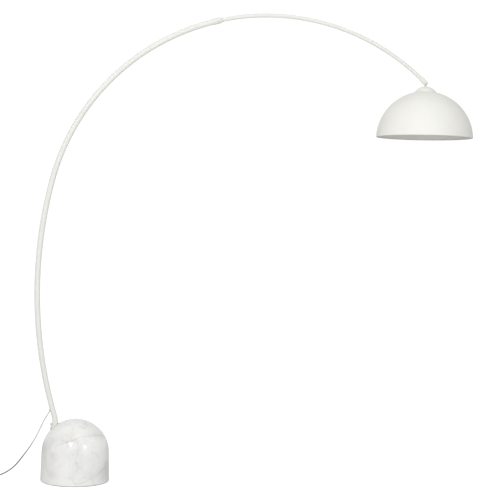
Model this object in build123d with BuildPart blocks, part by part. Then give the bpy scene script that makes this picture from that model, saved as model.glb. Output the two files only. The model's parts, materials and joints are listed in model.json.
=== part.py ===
from build123d import *
import math
import os

# An arc floor lamp: a domed marble foot, a curved pole, a thinner arm that slides in the pole
# along the same arc, and a dome shade that tilts on a small knuckle at the arm's end.
# Millimetres. Z is up, X points from the foot toward the shade, and the origin is the middle
# of the foot's underside, on the floor.

os.makedirs("parts", exist_ok=True)

# ---- Driving dimensions ---------------------------------------------------------------------

# Foot
PAD_RADIUS = 131.5
PAD_THICKNESS = 2.0
DOME_RADIUS = 136.5
FOOT_HEIGHT = 253.5
FOOT_DRAFT = 1.4
FOOT_EDGE_ROUND = 4.0
RECESS_RADIUS = 22.0
RECESS_TOP = 26.0

# Pole socket
POLE_X = -84.5
SPOT_FACE_RADIUS = 19.0
SPOT_FACE_Z = 204.0
COLLAR_RADIUS = 15.0
COLLAR_TOP = 236.0
COLLAR_FLANGE = 4.0
COLLAR_SCREW_HEIGHTS = (214.0, 229.5)
COLLAR_SCREW_RADIUS = 2.5
SCREW_HEAD_RADIUS = 5.6
SCREW_HEAD_HEIGHT = 5.8
SCREW_SOCKET_RADIUS = 2.0
SCREW_SOCKET_DEPTH = 2.8
ROD_RADIUS = 5.0

# Pole and arm: upright foot bend, then the mast arc, then the bow that pole and arm share
POLE_RADIUS = 11.5
POLE_BORE_RADIUS = 10.0
POLE_BOTTOM = 210.0
BEND_START = 240.0
BEND_RADIUS = 89.0
BACK_LEAN = 17.05
MAST_RADIUS = 1788.0
FRONT_LEAN = 14.15
BOW_RADIUS = 898.0
POLE_END = 76.9
ARM_RADIUS = 8.0
ARM_BORE_RADIUS = 6.5
ARM_TAIL = 63.1
ARM_END = 133.6

# Knuckle and shade
KNUCKLE_RADIUS = 10.0
SLOT_WIDTH = 7.2
TONGUE_WIDTH = 6.0
PIVOT_REACH = 19.5
PIVOT_INSET = 2.4
PIVOT_RADIUS = 2.0
SHADE_RADIUS = 195.4
SHADE_CENTRE_Z = 1418.85
SHADE_RIM_Z = 1426.3
SHADE_WALL = 0.8
CAP_TOP = 1632.75
CAP_WALL = 1.5
SPIGOT_RADIUS = 5.0

# Lampholder and bulb
HOLDER_RADIUS = 20.0
HOLDER_TOP = SHADE_CENTRE_Z + SHADE_RADIUS - 7.0
BULB_TIP = HOLDER_TOP - 35.0
BULB_RADIUS = 30.0
BULB_BOTTOM = HOLDER_TOP - 142.5

# Cord and what is on it
CORD_RADIUS = 2.8
GROMMET_RISE = 31.0
GROMMET_DROP = 55.0
SWITCH_X = -424.0
CORD_LANE = 60.0
SWITCH_CORD_Z = 6.0
SWITCH_LENGTH = 68.0
SWITCH_WIDTH = 44.0
SWITCH_SPLIT = 6.0
SWITCH_TOP = 21.0
SWITCH_WALL = 2.0
BUTTON_RADIUS = 12.0
BOOT_LENGTH = 20.0
COIL_X = -528.0
COIL_LIFT = 1.0
COIL_MIDDLE_RADIUS = 30.25
COIL_COLUMNS = 4
COIL_LAYERS = 2
COIL_TURNS = 7.5
PLUG_X = -458.0
PLUG_Z = 7.0

# Gaps between pieces that fit one in the other, from the closest to the widest
SNUG_GAP = 0.05
CLOSE_GAP = 0.1
EASY_GAP = 0.2
FREE_GAP = 0.3
WIDE_GAP = 0.5

# ---- The curve of pole and arm --------------------------------------------------------------

back_angle = math.radians(BACK_LEAN)
front_angle = math.radians(FRONT_LEAN)
bend_top = Vector(
    POLE_X - BEND_RADIUS * (1 - math.cos(back_angle)),
    0,
    BEND_START + BEND_RADIUS * math.sin(back_angle),
)
mast_centre = bend_top + Vector(math.cos(back_angle), 0, math.sin(back_angle)) * MAST_RADIUS
bow_centre = mast_centre + Vector(-math.cos(front_angle), 0, math.sin(front_angle)) * (
    MAST_RADIUS - BOW_RADIUS
)
bow_axis = Axis(bow_centre, (0, 1, 0))


def bow_direction(heading):
    """Direction of travel along the bow; the heading is degrees from upright."""
    angle = math.radians(heading)
    return Vector(math.sin(angle), 0, math.cos(angle))


def bow_plane(heading):
    """Plane across the bow at a heading: its y axis points outward, its z axis along the bow."""
    angle = math.radians(heading)
    outward = Vector(-math.cos(angle), 0, math.sin(angle))
    return Plane(
        origin=bow_centre + outward * BOW_RADIUS,
        x_dir=(0, 1, 0),
        z_dir=bow_direction(heading),
    )


def degrees_on_bow(length):
    return math.degrees(length / BOW_RADIUS)


def mast_point(heading):
    angle = math.radians(heading)
    return mast_centre + Vector(-math.cos(angle), 0, math.sin(angle)) * MAST_RADIUS


def ring(outer_radius, inner_radius):
    """Annulus in the sketch that is being built."""
    Circle(outer_radius)
    Circle(inner_radius, mode=Mode.SUBTRACT)


def write(part, name):
    part.label = name
    export_step(part, f"parts/{name}.step")


# ---- Foot -----------------------------------------------------------------------------------

dome_centre_z = FOOT_HEIGHT - DOME_RADIUS
draft_angle = math.radians(FOOT_DRAFT)
shoulder = (
    DOME_RADIUS * math.cos(draft_angle),
    dome_centre_z + DOME_RADIUS * math.sin(draft_angle),
)
foot_radius = shoulder[0] + (shoulder[1] - PAD_THICKNESS) * math.tan(draft_angle)

with BuildPart() as marble_base:
    with BuildSketch(Plane.XZ):
        with BuildLine():
            Line((0, FOOT_HEIGHT), (0, PAD_THICKNESS))
            Line((0, PAD_THICKNESS), (foot_radius, PAD_THICKNESS))
            Line((foot_radius, PAD_THICKNESS), shoulder)
            CenterArc((0, dome_centre_z), DOME_RADIUS, FOOT_DRAFT, 90 - FOOT_DRAFT)
        make_face()
    revolve(axis=Axis.Z)
    fillet(marble_base.faces().sort_by(Axis.Z)[0].outer_wire().edges(), FOOT_EDGE_ROUND)
    with BuildSketch(Plane.XY.offset(SPOT_FACE_Z)):
        with Locations((POLE_X, 0)):
            Circle(SPOT_FACE_RADIUS)
    extrude(amount=FOOT_HEIGHT - SPOT_FACE_Z, mode=Mode.SUBTRACT)
    with BuildSketch(Plane.XY.offset(PAD_THICKNESS)):
        with Locations((POLE_X, 0)):
            Circle(ROD_RADIUS + WIDE_GAP)
    extrude(amount=SPOT_FACE_Z - PAD_THICKNESS, mode=Mode.SUBTRACT)
    with BuildSketch(Plane.XY.offset(PAD_THICKNESS)):
        with Locations((POLE_X, 0)):
            Circle(RECESS_RADIUS)
    extrude(amount=RECESS_TOP - PAD_THICKNESS, mode=Mode.SUBTRACT)
write(marble_base.part, "marble_base")

with BuildPart() as floor_pad:
    with BuildSketch():
        Circle(PAD_RADIUS)
    extrude(amount=PAD_THICKNESS)
write(floor_pad.part, "floor_pad")

NUT_ACROSS_FLATS = 17.0
NUT_HEIGHT = 8.0
ROD_WASHER_RADIUS = 18.0
WASHER_THICKNESS = 3.0
ROD_OVERHANG = 3.0
THREAD_CHAMFER = 0.8
washer_bottom = RECESS_TOP - WASHER_THICKNESS
nut_bottom = washer_bottom - NUT_HEIGHT

with BuildPart() as rod_washer:
    with BuildSketch(Plane.XY.offset(washer_bottom)):
        with Locations((POLE_X, 0)):
            ring(ROD_WASHER_RADIUS, ROD_RADIUS + WIDE_GAP)
    extrude(amount=WASHER_THICKNESS)
write(rod_washer.part, "rod_washer")

with BuildPart() as rod_nut:
    with BuildSketch(Plane.XY.offset(nut_bottom)):
        with Locations((POLE_X, 0)):
            RegularPolygon(NUT_ACROSS_FLATS / 2, 6, major_radius=False)
            Circle(ROD_RADIUS, mode=Mode.SUBTRACT)
    extrude(amount=NUT_HEIGHT)
    chamfer(rod_nut.faces().sort_by(Axis.Z)[0].outer_wire().edges(), THREAD_CHAMFER)
write(rod_nut.part, "rod_nut")

with BuildPart() as tie_rod:
    with BuildSketch(Plane.XY.offset(nut_bottom - ROD_OVERHANG)):
        with Locations((POLE_X, 0)):
            Circle(ROD_RADIUS - SNUG_GAP)
    extrude(amount=POLE_BOTTOM - FREE_GAP - nut_bottom + ROD_OVERHANG)
    chamfer(tie_rod.edges().filter_by(GeomType.CIRCLE), THREAD_CHAMFER)
write(tie_rod.part, "tie_rod")

# ---- Pole socket ----------------------------------------------------------------------------

screw_centre = Vector(POLE_X, 0, sum(COLLAR_SCREW_HEIGHTS) / 2)
screw_pitch = COLLAR_SCREW_HEIGHTS[1] - COLLAR_SCREW_HEIGHTS[0]
screw_plane = Plane(origin=screw_centre, x_dir=(0, 1, 0), z_dir=(-1, 0, 0))
COLLAR_ROUND = 0.8
SCREW_HEAD_ROUND = 0.6

with BuildPart() as pole_collar:
    with BuildSketch(Plane.XY.offset(SPOT_FACE_Z)):
        with Locations((POLE_X, 0)):
            Circle(SPOT_FACE_RADIUS - WIDE_GAP)
    extrude(amount=COLLAR_FLANGE)
    with BuildSketch(Plane.XY.offset(SPOT_FACE_Z)):
        with Locations((POLE_X, 0)):
            Circle(COLLAR_RADIUS)
    extrude(amount=COLLAR_TOP - SPOT_FACE_Z)
    fillet(pole_collar.faces().sort_by(Axis.Z)[-1].edges(), COLLAR_ROUND)
    with BuildSketch(Plane.XY.offset(POLE_BOTTOM)):
        with Locations((POLE_X, 0)):
            Circle(POLE_RADIUS + SNUG_GAP)
    extrude(amount=COLLAR_TOP - POLE_BOTTOM, mode=Mode.SUBTRACT)
    with BuildSketch(Plane.XY.offset(SPOT_FACE_Z)):
        with Locations((POLE_X, 0)):
            Circle(ROD_RADIUS)
    extrude(amount=POLE_BOTTOM - SPOT_FACE_Z, mode=Mode.SUBTRACT)
    with BuildSketch(screw_plane):
        with GridLocations(0, screw_pitch, 1, 2):
            Circle(COLLAR_SCREW_RADIUS)
    extrude(amount=COLLAR_RADIUS + 1, mode=Mode.SUBTRACT)
write(pole_collar.part, "pole_collar")

with BuildPart() as collar_screws:
    with BuildSketch(screw_plane.offset(POLE_RADIUS + CLOSE_GAP)):
        with GridLocations(0, screw_pitch, 1, 2):
            Circle(COLLAR_SCREW_RADIUS - SNUG_GAP)
    extrude(amount=COLLAR_RADIUS - POLE_RADIUS)
    with BuildSketch(screw_plane.offset(COLLAR_RADIUS)):
        with GridLocations(0, screw_pitch, 1, 2):
            Circle(SCREW_HEAD_RADIUS)
    extrude(amount=SCREW_HEAD_HEIGHT)
    fillet(collar_screws.faces().group_by(Axis.X)[0].edges(), SCREW_HEAD_ROUND)
    with BuildSketch(screw_plane.offset(COLLAR_RADIUS + SCREW_HEAD_HEIGHT)):
        with GridLocations(0, screw_pitch, 1, 2):
            RegularPolygon(SCREW_SOCKET_RADIUS, 6, major_radius=False)
    extrude(amount=-SCREW_SOCKET_DEPTH, mode=Mode.SUBTRACT)
write(collar_screws.part, "collar_screws")

# ---- Pole -----------------------------------------------------------------------------------

# The cord leaves the pole just above the foot bend, through a hole that slopes down and back.
grommet_heading = math.degrees(GROMMET_RISE / MAST_RADIUS) - BACK_LEAN
grommet_root = mast_point(grommet_heading)
drop_angle = math.radians(GROMMET_DROP)
grommet_direction = Vector(-math.cos(drop_angle), 0, -math.sin(drop_angle))
grommet_plane = Plane(origin=grommet_root, x_dir=(0, 1, 0), z_dir=grommet_direction)
pole_across_grommet = Plane(
    origin=grommet_root, x_dir=(0, 1, 0), z_dir=bow_direction(grommet_heading)
)
GROMMET_HOLE_RADIUS = 4.2
GROMMET_FACE = 13.5
GROMMET_ROOT = 8.0
GROMMET_RADIUS = 6.0
GROMMET_ROUND = 1.2
GROMMET_TRIM = 20.0

# The set screw in the ferrule points toward -Y and a little down.
LOCK_SCREW_HEADING = 76.3
LOCK_SCREW_TILT = 28.0
tilt_angle = math.radians(LOCK_SCREW_TILT)
lock_plane_across = bow_plane(LOCK_SCREW_HEADING)
lock_direction = (
    Vector(0, -1, 0) * math.cos(tilt_angle)
    - lock_plane_across.y_dir * math.sin(tilt_angle)
)
lock_plane = Plane(
    origin=lock_plane_across.origin,
    x_dir=bow_direction(LOCK_SCREW_HEADING),
    z_dir=lock_direction,
)
LOCK_SCREW_RADIUS = 2.5

with BuildPart() as lower_pole:
    with BuildLine(Plane.XZ) as pole_path:
        upright = Line((POLE_X, POLE_BOTTOM), (POLE_X, BEND_START))
        foot_bend = JernArc(upright @ 1, upright % 1, BEND_RADIUS, BACK_LEAN)
        mast = JernArc(foot_bend @ 1, foot_bend % 1, MAST_RADIUS, -BACK_LEAN - FRONT_LEAN)
        JernArc(mast @ 1, mast % 1, BOW_RADIUS, FRONT_LEAN - POLE_END)
    with BuildSketch(Plane.XY.offset(POLE_BOTTOM)):
        with Locations((POLE_X, 0)):
            ring(POLE_RADIUS, POLE_BORE_RADIUS)
    sweep()
    with BuildSketch(grommet_plane):
        Circle(GROMMET_HOLE_RADIUS)
    extrude(amount=GROMMET_FACE + 4, mode=Mode.SUBTRACT)
    with BuildSketch(lock_plane):
        Circle(LOCK_SCREW_RADIUS + FREE_GAP)
    extrude(amount=POLE_RADIUS + 2, mode=Mode.SUBTRACT)
write(lower_pole.part, "lower_pole")

with BuildPart() as cord_grommet:
    with BuildSketch(grommet_plane.offset(GROMMET_ROOT)):
        Circle(GROMMET_RADIUS)
    extrude(amount=GROMMET_FACE - GROMMET_ROOT)
    fillet(cord_grommet.faces().sort_by(Axis(grommet_root, grommet_direction))[-1].edges(), GROMMET_ROUND)
    with BuildSketch(pole_across_grommet.offset(-GROMMET_TRIM)):
        ring(POLE_RADIUS + SNUG_GAP, POLE_BORE_RADIUS - FREE_GAP)
    extrude(amount=2 * GROMMET_TRIM, mode=Mode.SUBTRACT)
    with BuildSketch(grommet_plane.offset(GROMMET_ROOT)):
        Circle(GROMMET_HOLE_RADIUS - CLOSE_GAP)
    extrude(amount=GROMMET_FACE - GROMMET_ROOT - 1)
    with BuildSketch(grommet_plane):
        Circle(CORD_RADIUS + CLOSE_GAP)
    extrude(amount=GROMMET_FACE + 2, mode=Mode.SUBTRACT)
write(cord_grommet.part, "cord_grommet")

# The lead comes in through the grommet, turns up the pole and stops below the arm's reach.
LEAD_TURN_RADIUS = 9.0
LEAD_END = 39.5
LEAD_STUB = 1.5
entry_angle = bow_direction(grommet_heading).get_angle(grommet_direction * -1)
turn_reach = LEAD_TURN_RADIUS * math.tan(math.radians(entry_angle / 2))
lead_start = grommet_root + grommet_direction * (turn_reach + LEAD_STUB)
lead_heading = grommet_heading + math.degrees(turn_reach / MAST_RADIUS)
turn_angle = bow_direction(lead_heading).get_angle(grommet_direction * -1)

with BuildPart() as pole_lead:
    with BuildLine(Plane.XZ) as lead_path:
        inlet = Line(lead_start, grommet_root + grommet_direction * turn_reach)
        turn = JernArc(inlet @ 1, inlet % 1, LEAD_TURN_RADIUS, turn_angle)
        mast_run = JernArc(turn @ 1, turn % 1, MAST_RADIUS, lead_heading - FRONT_LEAN)
        JernArc(mast_run @ 1, mast_run % 1, BOW_RADIUS, FRONT_LEAN - LEAD_END)
    with BuildSketch(Plane(origin=lead_start, x_dir=(0, 1, 0), z_dir=grommet_direction * -1)):
        Circle(CORD_RADIUS)
    sweep()
write(pole_lead.part, "pole_lead")

# ---- Pole end -------------------------------------------------------------------------------

FERRULE_RADIUS = 12.8
FERRULE_LENGTH = 30.0
LIP_THICKNESS = 1.6
LOCK_SOCKET_RADIUS = 1.25
LOCK_SOCKET_DEPTH = 2.0
BUSH_LENGTH = 50.0
BUSH_NECK_RADIUS = 8.9
BUSH_RIM_RADIUS = 9.6
REVEAL = 1.4
BUSH_RIM_LENGTH = 9.0

lip_end = POLE_END + degrees_on_bow(LIP_THICKNESS)
reveal_end = lip_end + degrees_on_bow(REVEAL)
bush_end = reveal_end + degrees_on_bow(BUSH_RIM_LENGTH)

with BuildPart() as pole_ferrule:
    with BuildSketch(bow_plane(POLE_END - degrees_on_bow(FERRULE_LENGTH))):
        ring(FERRULE_RADIUS, POLE_RADIUS + SNUG_GAP)
    revolve(axis=bow_axis, revolution_arc=degrees_on_bow(FERRULE_LENGTH))
    with BuildSketch(bow_plane(POLE_END)):
        ring(FERRULE_RADIUS, BUSH_NECK_RADIUS + CLOSE_GAP)
    revolve(axis=bow_axis, revolution_arc=degrees_on_bow(LIP_THICKNESS))
    with BuildSketch(lock_plane):
        Circle(LOCK_SCREW_RADIUS)
    extrude(amount=FERRULE_RADIUS + 2, mode=Mode.SUBTRACT)
write(pole_ferrule.part, "pole_ferrule")

with BuildPart() as guide_bush:
    with BuildSketch(bow_plane(POLE_END - degrees_on_bow(BUSH_LENGTH))):
        ring(POLE_BORE_RADIUS - SNUG_GAP, ARM_RADIUS + SNUG_GAP)
    revolve(axis=bow_axis, revolution_arc=degrees_on_bow(BUSH_LENGTH - EASY_GAP))
    with BuildSketch(bow_plane(POLE_END - degrees_on_bow(EASY_GAP))):
        ring(BUSH_NECK_RADIUS, ARM_RADIUS + SNUG_GAP)
    revolve(axis=bow_axis, revolution_arc=reveal_end - POLE_END + degrees_on_bow(EASY_GAP))
    with BuildSketch(bow_plane(reveal_end)):
        ring(BUSH_RIM_RADIUS, ARM_RADIUS + SNUG_GAP)
    revolve(axis=bow_axis, revolution_arc=bush_end - reveal_end)
    with BuildSketch(lock_plane):
        Circle(LOCK_SCREW_RADIUS + FREE_GAP)
    extrude(amount=POLE_RADIUS, mode=Mode.SUBTRACT)
write(guide_bush.part, "guide_bush")

with BuildPart() as arm_lock_screw:
    with BuildSketch(lock_plane.offset(ARM_RADIUS + CLOSE_GAP)):
        Circle(LOCK_SCREW_RADIUS - SNUG_GAP)
    extrude(amount=FERRULE_RADIUS - ARM_RADIUS)
    with BuildSketch(lock_plane.offset(FERRULE_RADIUS + CLOSE_GAP)):
        RegularPolygon(LOCK_SOCKET_RADIUS, 6, major_radius=False)
    extrude(amount=-LOCK_SOCKET_DEPTH, mode=Mode.SUBTRACT)
write(arm_lock_screw.part, "arm_lock_screw")

# ---- Arm ------------------------------------------------------------------------------------

TAIL_BUSH_LENGTH = 26.0
LEAD_OVERHANG = 2.0

with BuildPart() as upper_arm:
    with BuildSketch(bow_plane(ARM_TAIL)):
        ring(ARM_RADIUS, ARM_BORE_RADIUS)
    revolve(axis=bow_axis, revolution_arc=ARM_END - ARM_TAIL)
write(upper_arm.part, "upper_arm")

with BuildPart() as arm_tail_bush:
    with BuildSketch(bow_plane(ARM_TAIL)):
        ring(POLE_BORE_RADIUS - WIDE_GAP, ARM_RADIUS)
    revolve(axis=bow_axis, revolution_arc=degrees_on_bow(TAIL_BUSH_LENGTH))
write(arm_tail_bush.part, "arm_tail_bush")

with BuildPart() as arm_lead:
    with BuildSketch(bow_plane(ARM_TAIL - LEAD_OVERHANG)):
        Circle(CORD_RADIUS)
    revolve(axis=bow_axis, revolution_arc=ARM_END + FREE_GAP - ARM_TAIL + LEAD_OVERHANG)
write(arm_lead.part, "arm_lead")

# ---- Knuckle --------------------------------------------------------------------------------

knuckle_plane = bow_plane(ARM_END)
pivot = knuckle_plane.from_local_coords((0, -PIVOT_INSET, PIVOT_REACH))
pivot_plane = Plane(origin=pivot, x_dir=(1, 0, 0), z_dir=(0, -1, 0))
KNUCKLE_START = -8.0
KNUCKLE_END = 24.5
SLOT_FLOOR = 10.0
HEAD_RADIUS = 3.2
HEAD_DEPTH = 2.2
NUT_POCKET_GAP = 0.7
PIVOT_SOCKET_RADIUS = 1.5
PIVOT_SOCKET_DEPTH = 1.6
KNUCKLE_NOSE_ROUND = 3.0
KNUCKLE_ROOT_ROUND = 0.6
cheek_face = math.sqrt(KNUCKLE_RADIUS**2 - PIVOT_INSET**2)

with BuildPart() as arm_knuckle:
    with BuildSketch(knuckle_plane.offset(KNUCKLE_START)):
        Circle(KNUCKLE_RADIUS)
    extrude(amount=KNUCKLE_END - KNUCKLE_START)
    knuckle_ends = arm_knuckle.faces().sort_by(Axis(knuckle_plane.origin, knuckle_plane.z_dir))
    fillet(knuckle_ends[-1].edges(), KNUCKLE_NOSE_ROUND)
    fillet(knuckle_ends[0].edges(), KNUCKLE_ROOT_ROUND)
    with BuildSketch(knuckle_plane.offset(KNUCKLE_START)):
        Circle(ARM_RADIUS + CLOSE_GAP)
    extrude(amount=EASY_GAP - KNUCKLE_START, mode=Mode.SUBTRACT)
    with BuildSketch(knuckle_plane):
        Circle(CORD_RADIUS + FREE_GAP)
    extrude(amount=SLOT_FLOOR, mode=Mode.SUBTRACT)
    with BuildSketch(knuckle_plane.offset(SLOT_FLOOR)):
        Rectangle(SLOT_WIDTH, 2 * KNUCKLE_RADIUS + 2)
    extrude(amount=KNUCKLE_END - SLOT_FLOOR, mode=Mode.SUBTRACT)
    with BuildSketch(pivot_plane):
        Circle(PIVOT_RADIUS)
    extrude(amount=KNUCKLE_RADIUS + 1, both=True, mode=Mode.SUBTRACT)
    with BuildSketch(pivot_plane.offset(cheek_face - HEAD_DEPTH)):
        Circle(HEAD_RADIUS + CLOSE_GAP)
    extrude(amount=HEAD_DEPTH + 1, mode=Mode.SUBTRACT)
    with BuildSketch(pivot_plane.offset(HEAD_DEPTH - cheek_face)):
        Circle(HEAD_RADIUS + NUT_POCKET_GAP)
    extrude(amount=-HEAD_DEPTH - 1, mode=Mode.SUBTRACT)
write(arm_knuckle.part, "arm_knuckle")

with BuildPart() as pivot_screw:
    with BuildSketch(pivot_plane.offset(-cheek_face)):
        Circle(PIVOT_RADIUS - SNUG_GAP)
    extrude(amount=2 * cheek_face - HEAD_DEPTH)
    with BuildSketch(pivot_plane.offset(cheek_face - HEAD_DEPTH)):
        Circle(HEAD_RADIUS)
    extrude(amount=HEAD_DEPTH)
    with BuildSketch(pivot_plane.offset(cheek_face)):
        RegularPolygon(PIVOT_SOCKET_RADIUS, 6, major_radius=False)
    extrude(amount=-PIVOT_SOCKET_DEPTH, mode=Mode.SUBTRACT)
write(pivot_screw.part, "pivot_screw")

with BuildPart() as pivot_nut:
    with BuildSketch(pivot_plane.offset(HEAD_DEPTH - cheek_face)):
        RegularPolygon(HEAD_RADIUS, 6, major_radius=False)
        Circle(PIVOT_RADIUS, mode=Mode.SUBTRACT)
    extrude(amount=-HEAD_DEPTH)
write(pivot_nut.part, "pivot_nut")

FRICTION_WASHER_THICKNESS = 0.5
WASHER_RADIUS = 4.8
with BuildPart() as friction_washers:
    for side in (1, -1):
        with BuildSketch(pivot_plane.offset(side * (TONGUE_WIDTH / 2 + SNUG_GAP))):
            ring(WASHER_RADIUS, PIVOT_RADIUS)
        extrude(amount=side * FRICTION_WASHER_THICKNESS)
write(friction_washers.part, "friction_washers")

# ---- Shade head -----------------------------------------------------------------------------

SHADE_X = pivot.X
shade_plane = Plane(origin=(SHADE_X, 0, 0), x_dir=(1, 0, 0), z_dir=(0, -1, 0))
shade_axis = Axis((SHADE_X, 0, 0), (0, 0, 1))
NECK_TOP = pivot.Z - 9.0
NECK_RADIUS = 5.5
TONGUE_RADIUS = 6.0
SPIGOT_BOTTOM = HOLDER_TOP - 15.5
SWIVEL_BORE_RADIUS = 2.5


def level(height):
    """Horizontal plane on the shade's axis."""
    return Plane(origin=(SHADE_X, 0, height), x_dir=(1, 0, 0), z_dir=(0, 0, 1))


with BuildPart() as shade_swivel:
    with BuildSketch(pivot_plane):
        Circle(TONGUE_RADIUS)
        with Locations((0, (NECK_TOP - pivot.Z) / 2)):
            Rectangle(2 * NECK_RADIUS, pivot.Z - NECK_TOP)
        Circle(PIVOT_RADIUS + SNUG_GAP, mode=Mode.SUBTRACT)
    extrude(amount=TONGUE_WIDTH / 2, both=True)
    with BuildSketch(level(CAP_TOP)):
        Circle(NECK_RADIUS)
    extrude(amount=NECK_TOP - CAP_TOP)
    with BuildSketch(level(SPIGOT_BOTTOM)):
        Circle(SPIGOT_RADIUS - SNUG_GAP)
    extrude(amount=CAP_TOP - SPIGOT_BOTTOM)
    with BuildSketch(level(SPIGOT_BOTTOM)):
        Circle(SWIVEL_BORE_RADIUS)
    extrude(amount=NECK_TOP - SPIGOT_BOTTOM, mode=Mode.SUBTRACT)
write(shade_swivel.part, "shade_swivel")

# The cap is a spun dome whose edge flares out to rest on the shade.
CAP_RADIUS = 52.0
CAP_FLAT = 8.0
CAP_SHOULDER = 41.3
FLARE_RADIUS = 17.0
FLARE_TURN = 24.0
cap_centre = (0, CAP_TOP - math.sqrt(CAP_RADIUS**2 - CAP_FLAT**2))
cap_start_angle = math.degrees(math.acos(CAP_FLAT / CAP_RADIUS))
cap_sweep = math.degrees(math.acos(CAP_SHOULDER / CAP_RADIUS)) - cap_start_angle
spigot_hole_radius = SPIGOT_RADIUS + EASY_GAP

with BuildPart() as shade_cap:
    with BuildSketch(shade_plane):
        with BuildLine():
            dome = CenterArc(cap_centre, CAP_RADIUS, cap_start_angle, cap_sweep)
            flare = JernArc(dome @ 1, dome % 1, FLARE_RADIUS, FLARE_TURN)
            lining = CenterArc(cap_centre, CAP_RADIUS - CAP_WALL, cap_start_angle, cap_sweep)
            lining_flare = JernArc(lining @ 1, lining % 1, FLARE_RADIUS + CAP_WALL, FLARE_TURN)
            Line(flare @ 1, lining_flare @ 1)
            Polyline(
                dome @ 0,
                (spigot_hole_radius, (dome @ 0).Y),
                (spigot_hole_radius, (lining @ 0).Y),
                lining @ 0,
            )
        make_face()
    revolve(axis=shade_axis)
    with Locations((SHADE_X, 0, SHADE_CENTRE_Z)):
        Sphere(SHADE_RADIUS + CLOSE_GAP, mode=Mode.SUBTRACT)
write(shade_cap.part, "shade_cap")

# The shade is a spun hemisphere with a thin rolled bead round its rim.
SHADE_HOLE_RADIUS = spigot_hole_radius
BEAD_RADIUS = 1.6
inner_radius = SHADE_RADIUS - SHADE_WALL
rim_height = SHADE_RIM_Z + BEAD_RADIUS - SHADE_CENTRE_Z
bead_centre = (math.sqrt((SHADE_RADIUS - BEAD_RADIUS) ** 2 - rim_height**2), SHADE_RIM_Z + BEAD_RADIUS)
rim_outer_angle = math.degrees(math.asin(rim_height / SHADE_RADIUS))
rim_inner_angle = math.degrees(math.asin(rim_height / inner_radius))
hole_outer_angle = math.degrees(math.acos(SHADE_HOLE_RADIUS / SHADE_RADIUS))
hole_inner_angle = math.degrees(math.acos(SHADE_HOLE_RADIUS / inner_radius))

with BuildPart() as shade:
    with BuildSketch(shade_plane):
        with BuildLine():
            outer_skin = CenterArc(
                (0, SHADE_CENTRE_Z), SHADE_RADIUS, rim_outer_angle, hole_outer_angle - rim_outer_angle
            )
            inner_skin = CenterArc(
                (0, SHADE_CENTRE_Z), inner_radius, rim_inner_angle, hole_inner_angle - rim_inner_angle
            )
            Line(outer_skin @ 1, inner_skin @ 1)
            Line(outer_skin @ 0, inner_skin @ 0)
        make_face()
    revolve(axis=shade_axis)
    with BuildSketch(shade_plane):
        with Locations(bead_centre):
            Circle(BEAD_RADIUS)
    revolve(axis=shade_axis)
write(shade.part, "shade")

SHADE_NUT_HEIGHT = 4.5
SHADE_NUT_RADIUS = 8.0
shade_nut_top = SHADE_CENTRE_Z + inner_radius - WIDE_GAP
with BuildPart() as shade_lock_nut:
    with BuildSketch(level(shade_nut_top - SHADE_NUT_HEIGHT)):
        RegularPolygon(SHADE_NUT_RADIUS, 6, major_radius=False)
        Circle(SPIGOT_RADIUS, mode=Mode.SUBTRACT)
    extrude(amount=SHADE_NUT_HEIGHT)
write(shade_lock_nut.part, "shade_lock_nut")

# ---- Lampholder -----------------------------------------------------------------------------

COVER_BOTTOM = HOLDER_TOP - 17.5
COVER_ROUND = 7.0
COVER_HOLLOW = 8.0
SHELL_TOP = COVER_BOTTOM - EASY_GAP
SHELL_BOTTOM = HOLDER_TOP - 62.5
SHELL_LIP = 3.0
SHELL_ROUND = 1.5
HOLDER_WALL = 2.2
CORE_BOTTOM = HOLDER_TOP - 31.5
CORE_TOP = HOLDER_TOP - 20.5
CORE_ROUND = 0.8
SCREW_SHELL_RADIUS = 15.0
SCREW_SHELL_WALL = 0.5
SCREW_SHELL_BOTTOM = HOLDER_TOP - 55.5
BULB_SCREW_RADIUS = 13.2
CONTACT_RADIUS = 3.0
CONTACT_LENGTH = 18.0
CONTACT_WIDTH = 5.0
CONTACT_THICKNESS = 0.8

with BuildPart() as holder_cover:
    with BuildSketch(level(COVER_BOTTOM)):
        Circle(HOLDER_RADIUS)
    extrude(amount=HOLDER_TOP - COVER_BOTTOM)
    fillet(holder_cover.faces().sort_by(Axis.Z)[-1].edges(), COVER_ROUND)
    with BuildSketch(level(COVER_BOTTOM)):
        Circle(HOLDER_RADIUS - HOLDER_WALL)
    extrude(amount=COVER_HOLLOW, mode=Mode.SUBTRACT)
    with BuildSketch(level(COVER_BOTTOM)):
        Circle(SPIGOT_RADIUS)
    extrude(amount=HOLDER_TOP - COVER_BOTTOM, mode=Mode.SUBTRACT)
write(holder_cover.part, "holder_cover")

with BuildPart() as holder_shell:
    with BuildSketch(level(SHELL_BOTTOM)):
        ring(HOLDER_RADIUS, HOLDER_RADIUS - HOLDER_WALL)
    extrude(amount=SHELL_TOP - SHELL_BOTTOM)
    with BuildSketch(level(SHELL_BOTTOM)):
        ring(HOLDER_RADIUS, SCREW_SHELL_RADIUS + WIDE_GAP)
    extrude(amount=SHELL_LIP)
    fillet(holder_shell.faces().sort_by(Axis.Z)[0].outer_wire().edges(), SHELL_ROUND)
write(holder_shell.part, "holder_shell")

with BuildPart() as holder_core:
    with BuildSketch(level(CORE_BOTTOM)):
        Circle(HOLDER_RADIUS - HOLDER_WALL - EASY_GAP)
    extrude(amount=CORE_TOP - CORE_BOTTOM)
    fillet(holder_core.edges().filter_by(GeomType.CIRCLE), CORE_ROUND)
write(holder_core.part, "holder_core")

with BuildPart() as screw_shell:
    with BuildSketch(level(SCREW_SHELL_BOTTOM)):
        ring(SCREW_SHELL_RADIUS, SCREW_SHELL_RADIUS - SCREW_SHELL_WALL)
    extrude(amount=CORE_BOTTOM - SCREW_SHELL_BOTTOM)
write(screw_shell.part, "screw_shell")

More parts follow.
